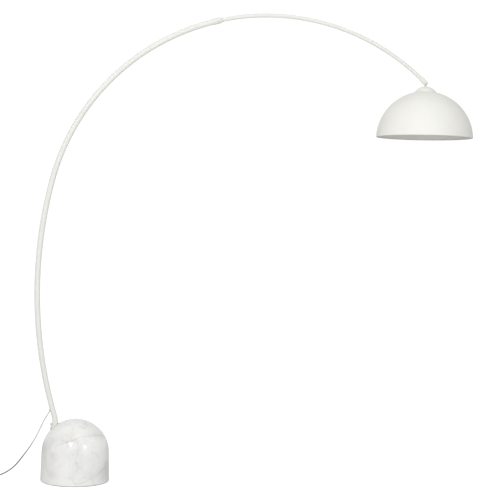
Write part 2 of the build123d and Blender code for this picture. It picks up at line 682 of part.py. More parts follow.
with BuildPart() as centre_contact:
    with BuildSketch(level(BULB_TIP + EASY_GAP)):
        Circle(CONTACT_RADIUS)
    extrude(amount=CORE_BOTTOM - BULB_TIP - EASY_GAP)
    with BuildSketch(level(CORE_BOTTOM - CONTACT_THICKNESS)):
        Rectangle(CONTACT_LENGTH, CONTACT_WIDTH)
    extrude(amount=CONTACT_THICKNESS)
write(centre_contact.part, "centre_contact")

# ---- Bulb -----------------------------------------------------------------------------------

BULB_CAP_BOTTOM = HOLDER_TOP - 61.5
BULB_SCREW_HEIGHT = 20.0
BULB_SHOULDER_RADIUS = 5.0
BULB_EYE_RADIUS = 4.0
BULB_EYE_HEIGHT = 1.5
BULB_GLOBE_SWEEP = 118
BULB_NECK_RADIUS = 13.9
BULB_NECK_HEIGHT = 2.0
GLASS_WALL = 0.8
bulb_centre_z = BULB_BOTTOM + BULB_RADIUS

with BuildPart() as bulb_cap:
    with BuildSketch(level(BULB_CAP_BOTTOM)):
        Circle(BULB_SCREW_RADIUS)
    extrude(amount=BULB_SCREW_HEIGHT)
    with BuildSketch(level(BULB_CAP_BOTTOM + BULB_SCREW_HEIGHT)):
        Circle(BULB_SCREW_RADIUS)
    with BuildSketch(level(BULB_TIP - BULB_EYE_HEIGHT)):
        Circle(BULB_SHOULDER_RADIUS)
    loft()
    with BuildSketch(level(BULB_TIP - BULB_EYE_HEIGHT)):
        Circle(BULB_EYE_RADIUS)
    extrude(amount=BULB_EYE_HEIGHT)
write(bulb_cap.part, "bulb_cap")

with BuildPart() as bulb_glass:
    with BuildSketch(shade_plane):
        with BuildLine():
            globe = CenterArc((0, bulb_centre_z), BULB_RADIUS, -90, BULB_GLOBE_SWEEP)
            Spline(
                globe @ 1,
                (BULB_NECK_RADIUS, BULB_CAP_BOTTOM - BULB_NECK_HEIGHT),
                tangents=(globe % 1, (0, 1)),
            )
            Polyline(
                (BULB_NECK_RADIUS, BULB_CAP_BOTTOM - BULB_NECK_HEIGHT),
                (BULB_SCREW_RADIUS - EASY_GAP, BULB_CAP_BOTTOM),
                (0, BULB_CAP_BOTTOM),
                (0, BULB_BOTTOM),
            )
        make_face()
    revolve(axis=shade_axis)
    offset(amount=-GLASS_WALL, openings=bulb_glass.faces().sort_by(Axis.Z)[-1])
write(bulb_glass.part, "bulb_glass")

# ---- Foot switch ----------------------------------------------------------------------------

SWITCH_FLOOR = 3.0
BOSS_PLACES = ((22.0, 12.0), (-22.0, -12.0))
BOSS_RADIUS = 3.3
BASE_ROUND = 1.2
COVER_EDGE_ROUND = 6.0
COVER_STEP = 4.0
COVER_STEP_WIDTH = 5.0
CASE_SCREW_RADIUS = 1.5
CASE_SCREW_LENGTH = 9.5
CASE_HEAD_RADIUS = 2.8
CASE_HEAD_HEIGHT = 1.5
BUTTON_ROUND = 1.8
BLOCK_LENGTH = 24.0
BLOCK_WIDTH = 16.0
BLOCK_HEIGHT = 8.4
BLOCK_ROUND = 1.5
PLUNGER_RADIUS = 4.0
PLUNGER_HEIGHT = 2.0
BUTTON_TOP = 25.0
BUTTON_FLANGE_RADIUS = 14.0
BUTTON_FLANGE_BOTTOM = 17.2
BUTTON_FLANGE_TOP = 18.7
ENTRY_RADIUS = 3.6


def switch_level(height):
    """Horizontal plane on the foot switch's middle."""
    return Plane(origin=(SWITCH_X, CORD_LANE, height), x_dir=(1, 0, 0), z_dir=(0, 0, 1))


switch_cord_plane = Plane(
    origin=(SWITCH_X, CORD_LANE, SWITCH_CORD_Z), x_dir=(0, 1, 0), z_dir=(1, 0, 0)
)

with BuildPart() as foot_switch_base:
    with BuildSketch(switch_level(0)):
        SlotOverall(SWITCH_LENGTH, SWITCH_WIDTH)
    extrude(amount=SWITCH_SPLIT)
    fillet(foot_switch_base.faces().sort_by(Axis.Z)[0].edges(), BASE_ROUND)
    with BuildSketch(switch_level(SWITCH_FLOOR)):
        SlotOverall(SWITCH_LENGTH - 2 * SWITCH_WALL, SWITCH_WIDTH - 2 * SWITCH_WALL)
    extrude(amount=SWITCH_SPLIT - SWITCH_FLOOR, mode=Mode.SUBTRACT)
    with BuildSketch(switch_level(0)):
        with Locations(*BOSS_PLACES):
            Circle(CASE_SCREW_RADIUS + CLOSE_GAP)
    extrude(amount=SWITCH_FLOOR, mode=Mode.SUBTRACT)
    with BuildSketch(switch_level(0)):
        with Locations(*BOSS_PLACES):
            Circle(CASE_HEAD_RADIUS + EASY_GAP)
    extrude(amount=CASE_HEAD_HEIGHT + FREE_GAP, mode=Mode.SUBTRACT)
    with BuildSketch(switch_cord_plane):
        Circle(ENTRY_RADIUS)
    extrude(amount=SWITCH_LENGTH, both=True, mode=Mode.SUBTRACT)
write(foot_switch_base.part, "foot_switch_base")

with BuildPart() as foot_switch_cover:
    with BuildSketch(switch_level(SWITCH_SPLIT)):
        SlotOverall(SWITCH_LENGTH, SWITCH_WIDTH)
    extrude(amount=SWITCH_TOP - SWITCH_SPLIT)
    fillet(foot_switch_cover.faces().sort_by(Axis.Z)[-1].edges(), COVER_EDGE_ROUND)
    with BuildSketch(switch_level(SWITCH_SPLIT)):
        SlotOverall(SWITCH_LENGTH - 2 * SWITCH_WALL, SWITCH_WIDTH - 2 * SWITCH_WALL)
    extrude(amount=SWITCH_TOP - SWITCH_WALL - COVER_STEP - SWITCH_SPLIT, mode=Mode.SUBTRACT)
    with BuildSketch(switch_level(SWITCH_SPLIT)):
        SlotOverall(
            SWITCH_LENGTH - 2 * (SWITCH_WALL + COVER_STEP_WIDTH),
            SWITCH_WIDTH - 2 * (SWITCH_WALL + COVER_STEP_WIDTH),
        )
    extrude(amount=SWITCH_TOP - SWITCH_WALL - SWITCH_SPLIT, mode=Mode.SUBTRACT)
    with BuildSketch(switch_level(SWITCH_FLOOR + CLOSE_GAP)):
        with Locations(*BOSS_PLACES):
            Circle(BOSS_RADIUS)
    extrude(amount=SWITCH_TOP - SWITCH_WALL - SWITCH_FLOOR - COVER_STEP)
    with BuildSketch(switch_level(SWITCH_FLOOR)):
        with Locations(*BOSS_PLACES):
            Circle(CASE_SCREW_RADIUS)
    extrude(amount=CASE_SCREW_LENGTH, mode=Mode.SUBTRACT)
    with BuildSketch(switch_level(SWITCH_SPLIT)):
        Circle(BUTTON_RADIUS + FREE_GAP)
    extrude(amount=SWITCH_TOP - SWITCH_SPLIT, mode=Mode.SUBTRACT)
    with BuildSketch(switch_cord_plane):
        Circle(ENTRY_RADIUS)
    extrude(amount=SWITCH_LENGTH, both=True, mode=Mode.SUBTRACT)
write(foot_switch_cover.part, "foot_switch_cover")

with BuildPart() as foot_switch_button:
    with BuildSketch(switch_level(BUTTON_FLANGE_BOTTOM)):
        Circle(BUTTON_FLANGE_RADIUS)
    extrude(amount=BUTTON_FLANGE_TOP - BUTTON_FLANGE_BOTTOM)
    with BuildSketch(switch_level(BUTTON_FLANGE_BOTTOM)):
        Circle(BUTTON_RADIUS)
    extrude(amount=BUTTON_TOP - BUTTON_FLANGE_BOTTOM)
    fillet(foot_switch_button.faces().sort_by(Axis.Z)[-1].edges(), BUTTON_ROUND)
write(foot_switch_button.part, "foot_switch_button")

with BuildPart() as switch_block:
    with BuildSketch(switch_level(SWITCH_FLOOR + CLOSE_GAP)):
        Rectangle(BLOCK_LENGTH, BLOCK_WIDTH)
    extrude(amount=BLOCK_HEIGHT)
    fillet(switch_block.edges().filter_by(Axis.Z), BLOCK_ROUND)
    with BuildSketch(switch_level(SWITCH_FLOOR + CLOSE_GAP + BLOCK_HEIGHT)):
        Circle(PLUNGER_RADIUS)
    extrude(amount=PLUNGER_HEIGHT)
write(switch_block.part, "switch_block")

with BuildPart() as foot_switch_screws:
    with BuildSketch(switch_level(FREE_GAP)):
        with Locations(*BOSS_PLACES):
            Circle(CASE_HEAD_RADIUS)
    extrude(amount=CASE_HEAD_HEIGHT)
    with BuildSketch(switch_level(FREE_GAP + CASE_HEAD_HEIGHT)):
        with Locations(*BOSS_PLACES):
            Circle(CASE_SCREW_RADIUS - SNUG_GAP)
    extrude(amount=CASE_SCREW_LENGTH)
write(foot_switch_screws.part, "foot_switch_screws")

BOOT_ROOT_RADIUS = 4.5
BOOT_TIP_RADIUS = 3.4
BOOT_SPIGOT = 3.5
with BuildPart() as switch_boots:
    for side in (1, -1):
        with BuildSketch(switch_cord_plane.offset(side * (SWITCH_LENGTH / 2 + CLOSE_GAP))):
            Circle(BOOT_ROOT_RADIUS)
        with BuildSketch(switch_cord_plane.offset(side * (SWITCH_LENGTH / 2 + BOOT_LENGTH))):
            Circle(BOOT_TIP_RADIUS)
        loft()
        with BuildSketch(switch_cord_plane.offset(side * (SWITCH_LENGTH / 2 - BOOT_SPIGOT))):
            Circle(ENTRY_RADIUS - CLOSE_GAP)
        extrude(amount=side * (BOOT_SPIGOT + WIDE_GAP))
write(switch_boots.part, "switch_boots")

# ---- Cord -----------------------------------------------------------------------------------


BEND_SHARE = 0.45


def bend_radii(points):
    """Radius at each corner: a share of the shorter run over the tangent of half the turn."""
    radii = []
    for before, corner, after in zip(points, points[1:], points[2:]):
        run_in = corner - before
        run_out = after - corner
        half_turn = math.radians(run_in.get_angle(run_out)) / 2
        radii.append(BEND_SHARE * min(run_in.length, run_out.length) / math.tan(half_turn))
    return radii


def route_length(path):
    return sum(edge.length for edge in path.edges())


boot_end = SWITCH_LENGTH / 2 + BOOT_LENGTH
coil_outer_turn = COIL_MIDDLE_RADIUS + CORD_RADIUS * (COIL_COLUMNS - 1)
coil_y = CORD_LANE + coil_outer_turn
tail_y = coil_y + coil_outer_turn
lower_turn_z = COIL_LIFT + CORD_RADIUS
upper_turn_z = COIL_LIFT + CORD_RADIUS * (2 * COIL_LAYERS - 1)
PLUG_RELIEF_LENGTH = 20.0
LAST_RUN = 18.0
SHORT_RUN = 12.0
TAIL_START = 14.0

cord_routes = {
    "cord_lead": [
        grommet_root + grommet_direction * GROMMET_FACE,
        Vector(-126, 0, 255.4),
        Vector(-145, 2, 209),
        Vector(-175, 6, 151),
        Vector(-214, 14, 96),
        Vector(-250, 24, 49.5),
        Vector(-287, 35, 22),
        Vector(-325, 50, 3.5),
        Vector(SWITCH_X + boot_end + LAST_RUN, CORD_LANE, SWITCH_CORD_Z),
        Vector(SWITCH_X + boot_end, CORD_LANE, SWITCH_CORD_Z),
    ],
    "cord_link": [
        Vector(SWITCH_X - boot_end, CORD_LANE, SWITCH_CORD_Z),
        Vector(SWITCH_X - boot_end - SHORT_RUN, CORD_LANE, SWITCH_CORD_Z),
        Vector(SWITCH_X - boot_end - 2 * SHORT_RUN, CORD_LANE, lower_turn_z),
        Vector(SWITCH_X - boot_end - 3 * SHORT_RUN, CORD_LANE, lower_turn_z),
    ],
    "cord_tail": [
        Vector(COIL_X + TAIL_START, tail_y, upper_turn_z),
        Vector(COIL_X + TAIL_START + SHORT_RUN, tail_y, upper_turn_z),
        Vector(COIL_X + TAIL_START + 2 * SHORT_RUN, tail_y, PLUG_Z),
        Vector(PLUG_X - PLUG_RELIEF_LENGTH, tail_y, PLUG_Z),
    ],
}

for name, points in cord_routes.items():
    radii = bend_radii(points)
    with BuildPart() as cord_piece:
        with BuildLine() as cord_path:
            FilletPolyline(*points, radius=radii)
        with BuildSketch(Plane(origin=points[0], z_dir=points[1] - points[0])):
            Circle(CORD_RADIUS)
        sweep()
    length = route_length(cord_path.line)
    expected = math.pi * CORD_RADIUS**2 * length
    print(name, "length", round(length, 1), "volume ratio", round(cord_piece.part.volume / expected, 4))
    print("  radii", [round(radius, 1) for radius in radii])
    write(cord_piece.part, name)

print("coil length", round(COIL_TURNS * 2 * math.pi * COIL_MIDDLE_RADIUS, 1))

coil_width = 2 * CORD_RADIUS * COIL_COLUMNS
coil_height = 2 * CORD_RADIUS * COIL_LAYERS
coil_section_plane = Plane(origin=(COIL_X, coil_y, 0), x_dir=(1, 0, 0), z_dir=(0, -1, 0))
coil_axis = Axis((COIL_X, coil_y, 0), (0, 0, 1))
coil_section_place = (COIL_MIDDLE_RADIUS, COIL_LIFT + coil_height / 2)

with BuildPart() as cord_coil:
    with BuildSketch(coil_section_plane):
        with Locations(coil_section_place):
            RectangleRounded(coil_width, coil_height, CORD_RADIUS - CLOSE_GAP)
    revolve(axis=coil_axis)
write(cord_coil.part, "cord_coil")

TIE_GAP = 0.15
TIE_THICKNESS = 0.7
TIE_SWEEP = 16.0
TIE_ROUND = 0.4
with BuildPart() as cord_tie:
    with BuildSketch(coil_section_plane):
        with Locations(coil_section_place):
            RectangleRounded(
                coil_width + 2 * (TIE_GAP + TIE_THICKNESS),
                coil_height + 2 * (TIE_GAP + TIE_THICKNESS),
                CORD_RADIUS + TIE_ROUND,
            )
            RectangleRounded(
                coil_width + 2 * TIE_GAP,
                coil_height + 2 * TIE_GAP,
                CORD_RADIUS,
                mode=Mode.SUBTRACT,
            )
    revolve(axis=coil_axis, revolution_arc=TIE_SWEEP)
write(cord_tie.part, "cord_tie")

# ---- Plug -----------------------------------------------------------------------------------

PLUG_LENGTH = 34.0
PLUG_WIDTH = 28.0
PLUG_HEIGHT = 13.4
PIN_RADIUS = 2.0
PIN_LENGTH = 19.0
PIN_SPACING = 18.6
PIN_ROOT = 8.0
PIN_ROUND = 1.2
PLUG_NOSE = (13.0, 11.0)
PLUG_NOSE_ROUND = 5.0
PLUG_EDGE_ROUND = 6.0
plug_plane = Plane(origin=(PLUG_X, tail_y, PLUG_Z), x_dir=(0, 1, 0), z_dir=(1, 0, 0))

with BuildPart() as plug_body:
    with BuildSketch(plug_plane):
        RectangleRounded(*PLUG_NOSE, PLUG_NOSE_ROUND)
    with BuildSketch(plug_plane.offset(PLUG_LENGTH / 2)):
        RectangleRounded(PLUG_WIDTH, PLUG_HEIGHT, PLUG_EDGE_ROUND)
    loft()
    with BuildSketch(plug_plane.offset(PLUG_LENGTH / 2)):
        RectangleRounded(PLUG_WIDTH, PLUG_HEIGHT, PLUG_EDGE_ROUND)
    extrude(amount=PLUG_LENGTH / 2)
    with BuildSketch(plug_plane.offset(-PLUG_RELIEF_LENGTH)):
        Circle(BOOT_TIP_RADIUS)
    with BuildSketch(plug_plane):
        Circle(BOOT_ROOT_RADIUS)
    loft()
    with BuildSketch(plug_plane.offset(PLUG_LENGTH)):
        with GridLocations(PIN_SPACING, 0, 2, 1):
            Circle(PIN_RADIUS)
    extrude(amount=-PIN_ROOT, mode=Mode.SUBTRACT)
write(plug_body.part, "plug_body")

with BuildPart() as plug_pins:
    with BuildSketch(plug_plane.offset(PLUG_LENGTH - PIN_ROOT)):
        with GridLocations(PIN_SPACING, 0, 2, 1):
            Circle(PIN_RADIUS)
    extrude(amount=PIN_LENGTH + PIN_ROOT)
    fillet(plug_pins.faces().group_by(Axis.X)[-1].edges(), PIN_ROUND)
write(plug_pins.part, "plug_pins")

print("bow centre", bow_centre)
print("pivot", pivot)
print("grommet face", grommet_root + grommet_direction * GROMMET_FACE)
print("coil centre y", coil_y, "tail y", tail_y)
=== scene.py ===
import json
import math

import bmesh
import bpy
from mathutils import Matrix, Vector


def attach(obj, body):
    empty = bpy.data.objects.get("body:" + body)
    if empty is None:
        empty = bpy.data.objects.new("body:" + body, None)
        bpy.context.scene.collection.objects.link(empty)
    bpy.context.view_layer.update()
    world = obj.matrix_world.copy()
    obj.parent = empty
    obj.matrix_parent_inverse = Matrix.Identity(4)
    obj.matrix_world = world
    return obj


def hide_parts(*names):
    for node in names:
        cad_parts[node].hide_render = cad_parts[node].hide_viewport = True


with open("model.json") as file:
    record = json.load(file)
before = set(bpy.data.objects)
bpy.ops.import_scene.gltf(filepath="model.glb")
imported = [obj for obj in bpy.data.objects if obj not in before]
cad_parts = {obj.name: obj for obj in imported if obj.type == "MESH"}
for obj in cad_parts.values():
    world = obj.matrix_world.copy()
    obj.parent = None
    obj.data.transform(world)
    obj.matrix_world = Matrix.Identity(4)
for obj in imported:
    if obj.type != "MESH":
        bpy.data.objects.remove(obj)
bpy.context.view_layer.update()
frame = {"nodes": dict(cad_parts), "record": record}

# The arc floor lamp's looks. The scene is in metres in the row frame: Z up, X from the marble foot
# toward the shade, and the origin on the floor under the middle of the foot. The cords' routes and
# the outlines of the detailed pieces are written in millimetres in that frame.

MM = 0.001
cad = frame["nodes"]

# ---- Camera ---------------------------------------------------------------------------------

# It stands in front of the lamp and looks along Y, a little down. The picture leans by the roll.
CAMERA_PLACE = (0.6936, -5.635, 1.090)
CAMERA_LENS = 100.0
CAMERA_SENSOR = 36.0
CAMERA_PITCH = 1.36
CAMERA_ROLL = 1.25

camera_data = bpy.data.cameras.new("camera")
camera_data.lens = CAMERA_LENS
camera_data.sensor_width = CAMERA_SENSOR
camera = bpy.data.objects.new("camera", camera_data)
camera.location = CAMERA_PLACE
tilted = Matrix.Rotation(math.radians(90 - CAMERA_PITCH), 3, "X")
rolled = tilted @ Matrix.Rotation(math.radians(CAMERA_ROLL), 3, "Z")
camera.rotation_euler = rolled.to_euler()
bpy.context.collection.objects.link(camera)
bpy.context.scene.camera = camera

# ---- Cords ----------------------------------------------------------------------------------

CORD_DIAMETER = 5.6 * MM
CORD_ORDER = 3
CORD_SMOOTHNESS = 12
CORD_ROUNDNESS = 8


def millimetres(points):
    """The points in metres, from a list in millimetres."""
    return [Vector(point) * MM for point in points]


def between(start, end, share):
    """The value at that share of the way from the start to the end."""
    return start + share * (end - start)


def cord_curve(name, points):
    """A cord as one open NURBS spline whose control points are the route's points."""
    data = bpy.data.curves.new(name, "CURVE")
    data.dimensions = "3D"
    # The bevel is one metre, so that a point's radius is the cord's own.
    data.bevel_depth = 1.0
    data.bevel_resolution = CORD_ROUNDNESS
    data.resolution_u = CORD_SMOOTHNESS
    data.use_fill_caps = True
    spline = data.splines.new("NURBS")
    spline.points.add(len(points) - 1)
    for place, point in zip(spline.points, points):
        place.co = (*point, 1.0)
        place.radius = CORD_DIAMETER / 2
    spline.order_u = CORD_ORDER
    spline.use_endpoint_u = True
    piece = bpy.data.objects.new(name, data)
    bpy.context.collection.objects.link(piece)
    return piece


# From the grommet in the pole down to the floor, and along it into the foot switch. The lane is
# the line of constant Y that the switch and the cord's straight lengths lie on.
GROMMET_EXIT = (-104.987, 0.0, 284.752)
LANE = 60.0
SWITCH_AXIS = 6.0
lead_route = millimetres([
    GROMMET_EXIT,
    (-126, 0, 255.4),
    (-145, 2, 209),
    (-175, 6, 151),
    (-214, 14, 96),
    (-250, 24, 49.5),
    (-287, 35, 22),
    (-325, 50, 3.5),
    (-352, LANE, SWITCH_AXIS),
    (-370, LANE, SWITCH_AXIS),
])

# The put-away length: two layers of turns, wound clockwise from the front of the coil. The lower
# layer is wound inward, the cord climbs on the innermost turn, and the upper layer comes back out.
# Each step from one turn to the next takes up the named part of a turn.
COIL_RADII = (38.65, 33.05, 27.45, 21.85)
COIL_CENTRE = (-528.0, LANE + COIL_RADII[0])
COIL_LOW = 3.8
COIL_HIGH = 9.4
COIL_TURNS = 7.5
COIL_POINTS_PER_TURN = 14
COIL_START_ANGLE = -90.0
INWARD_STEP = (0.84, 1.0)
CLIMB_STEP = (0.70, 0.86)
OUTWARD_STEP = (0.45, 0.70)


def gradual(fraction, span):
    """0 before the span, 1 after it, and a smooth change in between."""
    part = min(max((fraction - span[0]) / (span[1] - span[0]), 0.0), 1.0)
    return part * part * (3.0 - 2.0 * part)


def coil_place(turns):
    """Radius and height of the cord's middle after that many turns."""
    whole = int(turns)
    fraction = turns - whole
    innermost = len(COIL_RADII) - 1
    if whole < innermost:
        step = gradual(fraction, INWARD_STEP)
        return between(COIL_RADII[whole], COIL_RADII[whole + 1], step), COIL_LOW
    if whole == innermost:
        return COIL_RADII[innermost], between(COIL_LOW, COIL_HIGH, gradual(fraction, CLIMB_STEP))
    inner = 2 * innermost + 1 - whole
    outer = max(inner - 1, 0)
    step = gradual(fraction, OUTWARD_STEP)
    return between(COIL_RADII[inner], COIL_RADII[outer], step), COIL_HIGH


def coil_points():
    """Control points of the coil's turns; they stand a little outside the curve that they shape."""
    stand_off = 1.0 / math.cos(math.pi / COIL_POINTS_PER_TURN)
    points = []
    for index in range(1, round(COIL_TURNS * COIL_POINTS_PER_TURN)):
        turns = index / COIL_POINTS_PER_TURN
        angle = math.radians(COIL_START_ANGLE - 360.0 * turns)
        radius, height = coil_place(turns)
        reach = radius * stand_off
        points.append((
            COIL_CENTRE[0] + reach * math.cos(angle),
            COIL_CENTRE[1] + reach * math.sin(angle),
            height,
        ))
    return points


# From the foot switch into the coil at its front, and from the back of the coil to the plug.
TAIL_Y = COIL_CENTRE[1] + COIL_RADII[0]
PLUG_AXIS = 7.0
plug_route = millimetres(
    [
        (-478, LANE, SWITCH_AXIS),
        (-490, LANE, SWITCH_AXIS),
        (-502, LANE, COIL_LOW),
        (-514, LANE, COIL_LOW),
        (-528, LANE, COIL_LOW),
    ]
    + coil_points()
    + [
        (-528, TAIL_Y, COIL_HIGH),
        (-514, TAIL_Y, COIL_HIGH),
        (-502, TAIL_Y, COIL_HIGH),
        (-490, TAIL_Y, PLUG_AXIS),
        (-478, TAIL_Y, PLUG_AXIS),
    ]
)

lead_cord = cord_curve("lamp_lead", lead_route)
plug_cord = cord_curve("plug_lead", plug_route)
for cord in (lead_cord, plug_cord):
    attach(cord, "stand")
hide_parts("cord_lead")
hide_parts("cord_link", "cord_coil", "cord_tail")

# ---- Materials ------------------------------------------------------------------------------

# The colour sockets of a Mix node, and how a patch of colour ends: the raggedness of its edge and
# the part of its reach that is fully coloured.
MIX_FACTOR, MIX_A, MIX_B, MIX_RESULT = 0, 6, 7, 2
PATCH_RAGGEDNESS = 1.6
PATCH_CORE = 0.1


class Surface:
    """A principled material, and short calls that build its procedural nodes."""

    def __init__(self, name, **sockets):
        self.material = bpy.data.materials.new(name)
        self.material.use_nodes = True
        self.tree = self.material.node_tree
        self.shader = self.tree.nodes["Principled BSDF"]
        self.place = self.tree.nodes.new("ShaderNodeTexCoord").outputs["Object"]
        for socket, value in sockets.items():
            self.shader.inputs[socket.replace("_", " ")].default_value = value

    def node(self, kind, settings=None, **inputs):
        made = self.tree.nodes.new("ShaderNode" + kind)
        for name, value in (settings or {}).items():
            setattr(made, name, value)
        for name, value in inputs.items():
            self.give(made.inputs[name.replace("_", " ")], value)
        return made

    def give(self, socket, value):
        """Links the value if it is another node's output, and otherwise sets it."""
        if isinstance(value, bpy.types.NodeSocket):
            self.tree.links.new(value, socket)
        else:
            socket.default_value = value

    def noise(self, scale, detail=3.0, roughness=0.5, distortion=0.0, place=None):
        return self.node(
            "TexNoise",
            Vector=place or self.place,
            Scale=scale,
            Detail=detail,
            Roughness=roughness,
            Distortion=distortion,
        ).outputs["Fac"]

    def math(self, operation, first, second=0.0, third=0.0):
        made = self.node("Math", {"operation": operation})
        for socket, value in zip(made.inputs, (first, second, third)):
            self.give(socket, value)
        return made.outputs[0]

    def spread(self, value, low, high, to_low=0.0, to_high=1.0, kind="SMOOTHSTEP"):
        """Maps low..high onto to_low..to_high, smoothly unless the kind is LINEAR, and clamped."""
        made = self.node("MapRange", {"interpolation_type": kind, "clamp": True})
        for socket, given in zip(made.inputs, (value, low, high, to_low, to_high)):
            self.give(socket, given)
        return made.outputs["Result"]

    def blend(self, factor, first, second):
        """Colour mix of two colours."""
        made = self.node("Mix", {"data_type": "RGBA"})
        self.give(made.inputs[MIX_FACTOR], factor)
        self.give(made.inputs[MIX_A], first)
        self.give(made.inputs[MIX_B], second)
        return made.outputs[MIX_RESULT]

    def colour(self, value):
        self.give(self.shader.inputs["Base Color"], value)

    def roughness(self, value, low, high, roughness):
        """Lets the value's low..high make the surface as rough as the two roughnesses say."""
        rough = self.spread(value, low, high, *roughness, kind="LINEAR")
        self.give(self.shader.inputs["Roughness"], rough)

    def bump(self, height, strength, distance, below=None):
        made = self.node("Bump", Strength=strength, Distance=distance, Height=height)
        if below is not None:
            self.give(made.inputs["Normal"], below)
        self.give(self.shader.inputs["Normal"], made.outputs["Normal"])
        return made.outputs["Normal"]

    def near(self, place, reach, strength, ragged):
        """The strength at the place and 0 beyond its reach, with an edge that a noise makes ragged."""
        gap = self.node("VectorMath", {"operation": "DISTANCE"})
        self.give(gap.inputs[0], self.place)
        self.give(gap.inputs[1], place)
        rough = self.math("MULTIPLY", self.math("SUBTRACT", ragged, 0.5), -PATCH_RAGGEDNESS * reach)
        edge = self.math("ADD", gap.outputs["Value"], rough)
        return self.spread(edge, PATCH_CORE * reach, reach, strength, 0.0)

    def curve(self, value, points, span, reach):
        """A smooth curve through the points, given as places in the span and values in the reach."""
        made = self.node("FloatCurve")
        self.give(made.inputs["Value"], self.spread(value, *span, kind="LINEAR"))
        places = [
            ((x - span[0]) / (span[1] - span[0]), (y - reach[0]) / (reach[1] - reach[0]))
            for x, y in points
        ]
        line = made.mapping.curves[0]
        line.points[0].location = places[0]
        line.points[1].location = places[-1]
        for place in places[1:-1]:
            line.points.new(*place)
        made.mapping.update()
        return self.spread(made.outputs["Value"], 0.0, 1.0, *reach, kind="LINEAR")

    def split(self):
        """The object coordinates' X, Y and Z."""
        return self.node("SeparateXYZ", Vector=self.place).outputs


def rgb(red, green, blue):
    return (red, green, blue, 1.0)


def orange_peel(made, roughness):
    """The fine waves of a powder coat, which also make it a little rougher or smoother."""
    peel = made.noise(scale=620.0, detail=2.0, roughness=0.45)
    made.roughness(peel, 0.25, 0.75, roughness=(roughness - 0.05, roughness + 0.06))
    return peel


PEEL_HEIGHT = 0.25 * MM


def powder_coat(name, light, shaded, roughness):
    """Satin powder coat: faint orange peel, fine grain and slightly uneven gloss."""
    made = Surface(name)
    drift = made.noise(scale=9.0, detail=3.0)
    made.colour(made.blend(made.spread(drift, 0.3, 0.7), light, shaded))
    peel = orange_peel(made, roughness)
    grain = made.noise(scale=2600.0, detail=1.0)
    under = made.bump(peel, strength=0.06, distance=PEEL_HEIGHT)
    made.bump(grain, strength=0.04, distance=0.06 * MM, below=under)
    return made.material


RING_TINT = 0.35


def spun_coat(name, light, shaded, roughness):
    """Powder coat over spun metal: the coat's peel, and faint rings left by the spinning."""
    made = Surface(name, Specular_IOR_Level=0.3)
    drift = made.noise(scale=9.0, detail=3.0)
    height = made.node("CombineXYZ", Z=made.split()["Z"]).outputs["Vector"]
    rings = made.noise(scale=240.0, detail=2.0, roughness=0.5, place=height)
    tint = made.math(
        "ADD",
        made.math("MULTIPLY", rings, RING_TINT),
        made.math("MULTIPLY", drift, 1.0 - RING_TINT),
    )
    made.colour(made.blend(made.spread(tint, 0.35, 0.65), light, shaded))
    peel = orange_peel(made, roughness)
    under = made.bump(peel, strength=0.16, distance=PEEL_HEIGHT)
    made.bump(rings, strength=0.20, distance=0.35 * MM, below=under)
    return made.material


STREAK_STRETCH = (1.0, 1.0, 0.08)
BLOTCH_SHARE = 0.12


def metal(name, light, shaded, roughness, streak_scale):
    """Plain or plated metal with fine rubbed streaks and faint blotches."""
    made = Surface(name, Metallic=1.0)
    stretched = made.node("Mapping", Vector=made.place, Scale=STREAK_STRETCH).outputs["Vector"]
    streaks = made.noise(streak_scale, detail=3.0, roughness=0.6, place=stretched)
    blotches = made.noise(streak_scale * BLOTCH_SHARE, detail=2.0)
    made.colour(made.blend(made.spread(blotches, 0.35, 0.65), light, shaded))
    made.roughness(streaks, 0.3, 0.7, roughness)
    made.bump(streaks, strength=0.12, distance=0.05 * MM)
    return made.material


GRAIN_HEIGHT = 0.12 * MM


def moulded(name, light, shaded, roughness, grain_scale, grain_strength):
    """An even stuff such as plastic, rubber, ceramic or felt: a fine grain and drifting colour."""
    made = Surface(name)
    drift = made.noise(scale=30.0, detail=2.0)
    made.colour(made.blend(made.spread(drift, 0.3, 0.7), light, shaded))
    texture = made.noise(grain_scale, detail=2.0, roughness=0.6)
    made.roughness(texture, 0.3, 0.7, roughness)
    made.bump(texture, strength=grain_strength, distance=GRAIN_HEIGHT)
    return made.material


# The cord's own grey, and a darker grey that is painted shade near the floor: full below the lower height
# and gone above the higher one.
SHEATH_GREY = rgb(0.62, 0.62, 0.61)
SHEATH_PAINTED_SHADE = rgb(0.20, 0.20, 0.20)
PAINTED_SHADE_FULL_BELOW = 0.09
PAINTED_SHADE_GONE_ABOVE = 0.20


def sheath():
    """Grey sheath of the cord, with painted shade that darkens it where it lies near the floor."""
    made = Surface("cord_sheath")
    texture = made.noise(scale=1200.0, detail=2.0, roughness=0.6)
    shade_edge_noise = made.noise(scale=60.0, detail=3.0, roughness=0.6)
    # Painted shade: the height, made uneven by a noise, sets how much of the darker grey is laid on.
    height = made.math("MULTIPLY_ADD", shade_edge_noise, 0.04, made.split()["Z"])
    made.colour(made.blend(made.spread(height, PAINTED_SHADE_FULL_BELOW, PAINTED_SHADE_GONE_ABOVE), SHEATH_PAINTED_SHADE, SHEATH_GREY))
    made.roughness(texture, 0.3, 0.7, roughness=(0.38, 0.48))
    made.bump(texture, strength=0.15, distance=GRAIN_HEIGHT)
    return made.material


MARBLE_LIGHT = rgb(0.865, 0.865, 0.845)
MARBLE_CLOUD = rgb(0.775, 0.775, 0.76)
MARBLE_GREY = rgb(0.62, 0.62, 0.61)
MARBLE_VEIN = rgb(0.42, 0.42, 0.41)
MARBLE_BEIGE = rgb(0.78, 0.73, 0.67)

# The turn round the foot is in radians, 0 at its front and growing toward +X. A radian of it is
# TURN_METRES along the foot's side.
ALL_ROUND = (-math.pi, math.pi)
ALL_HEIGHTS = (0.0, 0.26)
UPRIGHT_TURNS = (-1.0, 1.0)
TURN_METRES = 0.137

